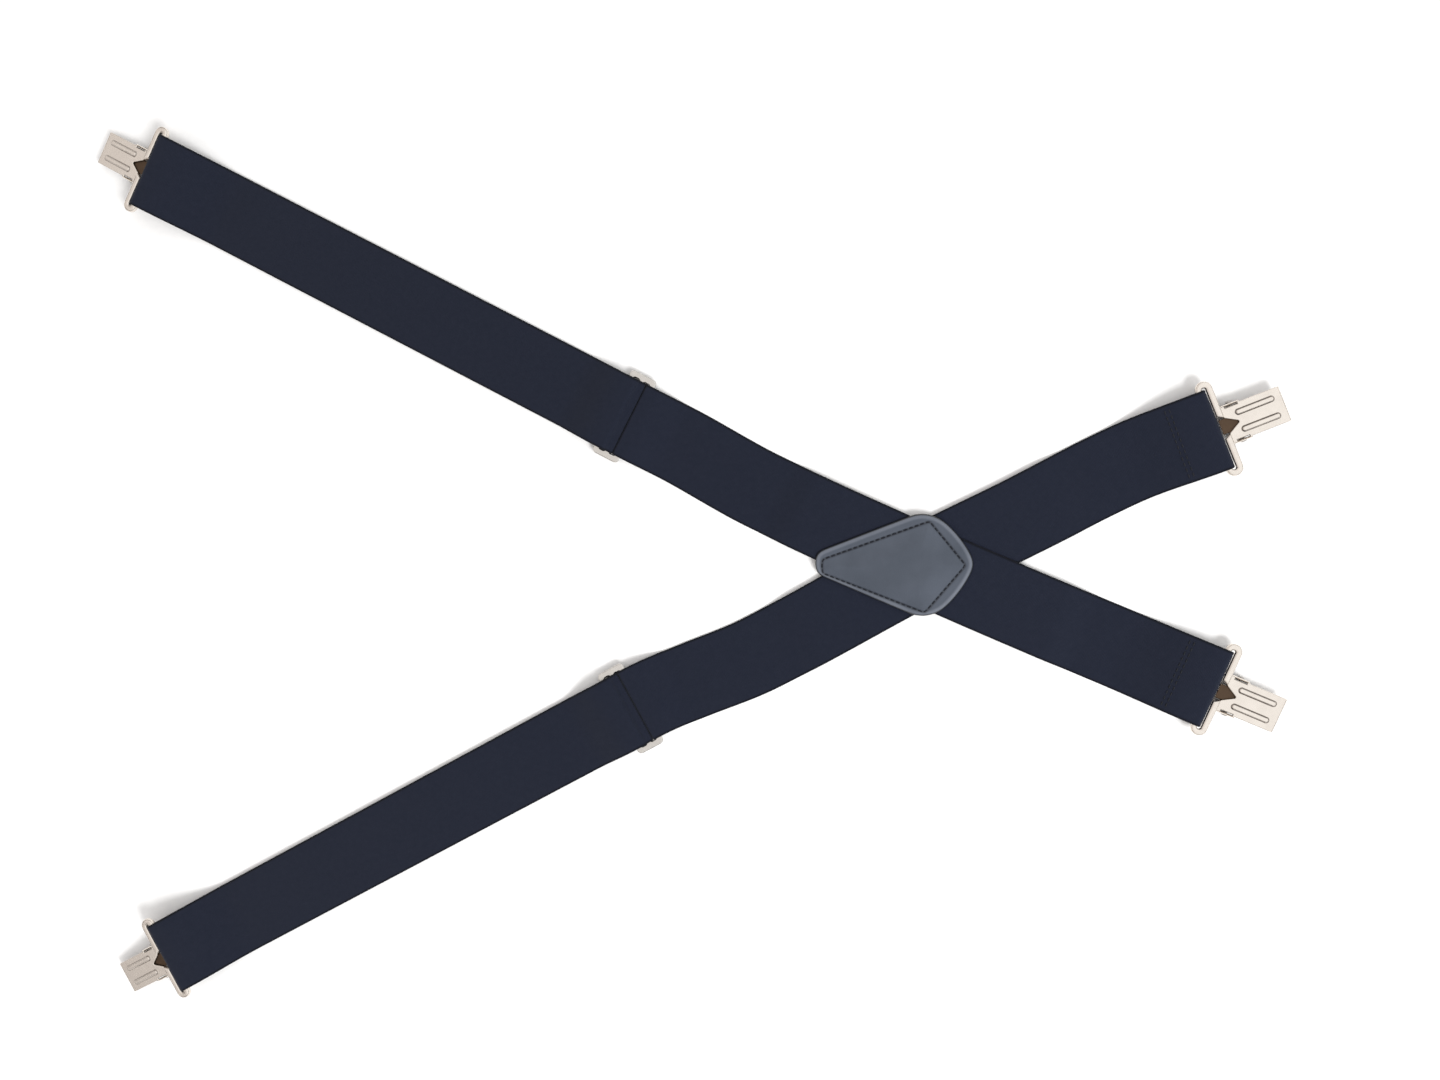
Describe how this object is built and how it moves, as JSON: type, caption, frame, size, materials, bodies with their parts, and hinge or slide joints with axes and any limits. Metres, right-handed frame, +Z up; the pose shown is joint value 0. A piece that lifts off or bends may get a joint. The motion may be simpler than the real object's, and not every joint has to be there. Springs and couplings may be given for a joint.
{
  "type": "suspenders",
  "caption": "Wide X-back clip-on suspenders laid flat: two crossing webbing straps joined by a kite-shaped leather patch, with three-bar slides and levered metal waistband clips.",
  "frame": {"origin": "underside of the outer leather patch, where the two straps cross", "axes": "+X towards the back clips, +Y towards the wearer's left, +Z up from the surface they lie on, towards the body side"},
  "size_m": [0.7664, 0.5878, 0.0173],
  "materials": {
    "webbing": "navy black woven elastic webbing, matt with a faint sheen",
    "leather": "smooth slate blue grey leather, semi gloss",
    "clip_nickel": "nickel plated pressed steel, satin bright",
    "slide_nickel": "nickel plated, bright",
    "jaw_steel": "nickel plated, satin",
    "rivet_steel": "satin",
    "spring_brass": "brownish spring bronze"
  },
  "bodies": {
    "harness": {"left_strap_run": "webbing", "right_strap_run": "webbing", "cross_patch_outer": "leather", "cross_patch_inner": "leather"},
    "left_adjuster": {"left_slide": "slide_nickel", "left_strap_return": "webbing"},
    "left_clip_loop": {"left_strap_loop": "webbing"},
    "left_front_clip": {"left_front_clip_plate": "clip_nickel", "left_front_clip_rivet": "rivet_steel", "left_front_clip_spring": "spring_brass"},
    "left_front_lever": {"left_front_clip_lever": "clip_nickel"},
    "left_front_jaw": {"left_front_clip_jaw": "jaw_steel"},
    "right_back_clip": {"right_back_clip_plate": "clip_nickel", "right_back_clip_rivet": "rivet_steel", "right_back_clip_spring": "spring_brass"},
    "right_back_lever": {"right_back_clip_lever": "clip_nickel"},
    "right_back_jaw": {"right_back_clip_jaw": "jaw_steel"},
    "right_adjuster": {"right_slide": "slide_nickel", "right_strap_return": "webbing"},
    "right_clip_loop": {"right_strap_loop": "webbing"},
    "right_front_clip": {"right_front_clip_plate": "clip_nickel", "right_front_clip_rivet": "rivet_steel", "right_front_clip_spring": "spring_brass"},
    "right_front_lever": {"right_front_clip_lever": "clip_nickel"},
    "right_front_jaw": {"right_front_clip_jaw": "jaw_steel"},
    "left_back_clip": {"left_back_clip_plate": "clip_nickel", "left_back_clip_rivet": "rivet_steel", "left_back_clip_spring": "spring_brass"},
    "left_back_lever": {"left_back_clip_lever": "clip_nickel"},
    "left_back_jaw": {"left_back_clip_jaw": "jaw_steel"}
  },
  "joints": [
    {"name": "left_slide_travel", "type": "slide", "parent": "harness", "child": "left_adjuster", "axis": [-0.8891, 0.4577, 0], "range_m": [-0.05, 0.34], "deforming": ["left_strap_run"]},
    {"name": "left_loop_travel", "type": "slide", "parent": "left_adjuster", "child": "left_clip_loop", "axis": [-0.8891, 0.4577, 0], "range_m": [-0.17, 0.025], "deforming": ["left_strap_return"]},
    {"name": "left_front_clip_swivel", "type": "hinge", "parent": "left_clip_loop", "child": "left_front_clip", "pos_m": [-0.5091, 0.2554, 0.0136], "axis": [-0.4577, -0.8891, 0], "range_deg": [-90, 90]},
    {"name": "left_front_lever_open", "type": "hinge", "parent": "left_front_clip", "child": "left_front_lever", "pos_m": [-0.5218, 0.26194, 0.00481], "axis": [-0.4577, -0.8891, 0], "range_deg": [0, 100]},
    {"name": "left_front_jaw_open", "type": "hinge", "parent": "left_front_clip", "child": "left_front_jaw", "pos_m": [-0.5187, 0.26034, 0.00885], "axis": [-0.4577, -0.8891, 0], "range_deg": [0, 10]},
    {"name": "right_back_clip_swivel", "type": "hinge", "parent": "harness", "child": "right_back_clip", "pos_m": [0.1701, -0.0739, 0.0086], "axis": [0.3817, 0.9243, 0], "range_deg": [-90, 90]},
    {"name": "right_back_lever_open", "type": "hinge", "parent": "right_back_clip", "child": "right_back_lever", "pos_m": [0.18461, -0.07989, 0.0027], "axis": [0.3817, 0.9243, 0], "range_deg": [0, 100]},
    {"name": "right_back_jaw_open", "type": "hinge", "parent": "right_back_clip", "child": "right_back_jaw", "pos_m": [0.18073, -0.07829, 0.006], "axis": [0.3817, 0.9243, 0], "range_deg": [0, 10]},
    {"name": "right_slide_travel", "type": "slide", "parent": "harness", "child": "right_adjuster", "axis": [-0.8749, -0.4843, 0], "range_m": [-0.05, 0.34], "deforming": ["right_strap_run"]},
    {"name": "right_loop_travel", "type": "slide", "parent": "right_adjuster", "child": "right_clip_loop", "axis": [-0.8749, -0.4843, 0], "range_m": [-0.17, 0.025], "deforming": ["right_strap_return"]},
    {"name": "right_front_clip_swivel", "type": "hinge", "parent": "right_clip_loop", "child": "right_front_clip", "pos_m": [-0.5097, -0.2735, 0.0136], "axis": [0.4843, -0.8749, 0], "range_deg": [-90, 90]},
    {"name": "right_front_lever_open", "type": "hinge", "parent": "right_front_clip", "child": "right_front_lever", "pos_m": [-0.5222, -0.28042, 0.00481], "axis": [0.4843, -0.8749, 0], "range_deg": [0, 100]},
    {"name": "right_front_jaw_open", "type": "hinge", "parent": "right_front_clip", "child": "right_front_jaw", "pos_m": [-0.51914, -0.27873, 0.00885], "axis": [0.4843, -0.8749, 0], "range_deg": [0, 10]},
    {"name": "left_back_clip_swivel", "type": "hinge", "parent": "harness", "child": "left_back_clip", "pos_m": [0.1683, 0.0816, 0.0086], "axis": [-0.3734, 0.9277, 0], "range_deg": [-90, 90]},
    {"name": "left_back_lever_open", "type": "hinge", "parent": "left_back_clip", "child": "left_back_lever", "pos_m": [0.18286, 0.08746, 0.0027], "axis": [-0.3734, 0.9277, 0], "range_deg": [0, 100]},
    {"name": "left_back_jaw_open", "type": "hinge", "parent": "left_back_clip", "child": "left_back_jaw", "pos_m": [0.17897, 0.08589, 0.006], "axis": [-0.3734, 0.9277, 0], "range_deg": [0, 10]}
  ],
  "couplings": [
    {"joint": "left_loop_travel", "follows": "left_slide_travel", "ratio": -0.5},
    {"joint": "left_front_jaw_open", "follows": "left_front_lever_open", "ratio": 0.1},
    {"joint": "right_back_jaw_open", "follows": "right_back_lever_open", "ratio": 0.1},
    {"joint": "right_loop_travel", "follows": "right_slide_travel", "ratio": -0.5},
    {"joint": "right_front_jaw_open", "follows": "right_front_lever_open", "ratio": 0.1},
    {"joint": "left_back_jaw_open", "follows": "left_back_lever_open", "ratio": 0.1}
  ]
}
